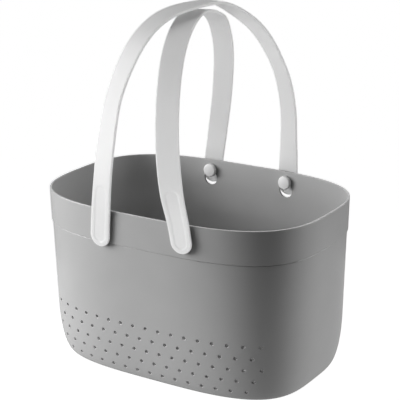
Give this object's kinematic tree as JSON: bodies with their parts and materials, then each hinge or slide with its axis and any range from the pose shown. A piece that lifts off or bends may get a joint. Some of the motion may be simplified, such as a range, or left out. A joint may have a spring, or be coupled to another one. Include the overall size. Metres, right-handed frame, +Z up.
{
  "type": "shower basket",
  "caption": "Moulded plastic shower basket with drain holes and flat strap handles that cross over it and lock into keyholes in its collar.",
  "frame": {"origin": "middle of the footprint, on the surface that the foot ring stands on", "axes": "+Z up, +X along the basket's long side, -Y towards the front wall, which carries the strap end that has slipped down"},
  "size_m": [0.282, 0.2118, 0.3446],
  "materials": {
    "tub_plastic": "moulded, fine matte grain",
    "strap_plastic": "moulded, smooth satin",
    "stud_plastic": "moulded, smooth satin"
  },
  "bodies": {
    "basket": {"tub": "tub_plastic"},
    "outer_handle": {"outer_strap": "strap_plastic", "stud_front_left": "stud_plastic", "stud_back_right": "stud_plastic"},
    "inner_handle": {"inner_strap": "strap_plastic", "stud_front_right": "stud_plastic", "stud_back_left": "stud_plastic"}
  },
  "joints": [
    {"name": "outer_handle_rock", "type": "hinge", "parent": "basket", "child": "outer_handle", "pos_m": [0.00065, 0.00019, 0.14995], "axis": [0.4112, 0.9101, 0.0519], "range_deg": [-5, 5], "stiffness_Nm_per_rad": 0.3},
    {"name": "inner_handle_rock", "type": "hinge", "parent": "basket", "child": "inner_handle", "pos_m": [0.00065, 0.00008, 0.1544], "axis": [-0.4183, 0.9083, 0.0095], "range_deg": [-5, 5], "stiffness_Nm_per_rad": 0.3}
  ],
  "couplings": [
    {"joint": "inner_handle_rock", "follows": "outer_handle_rock", "ratio": 1}
  ]
}
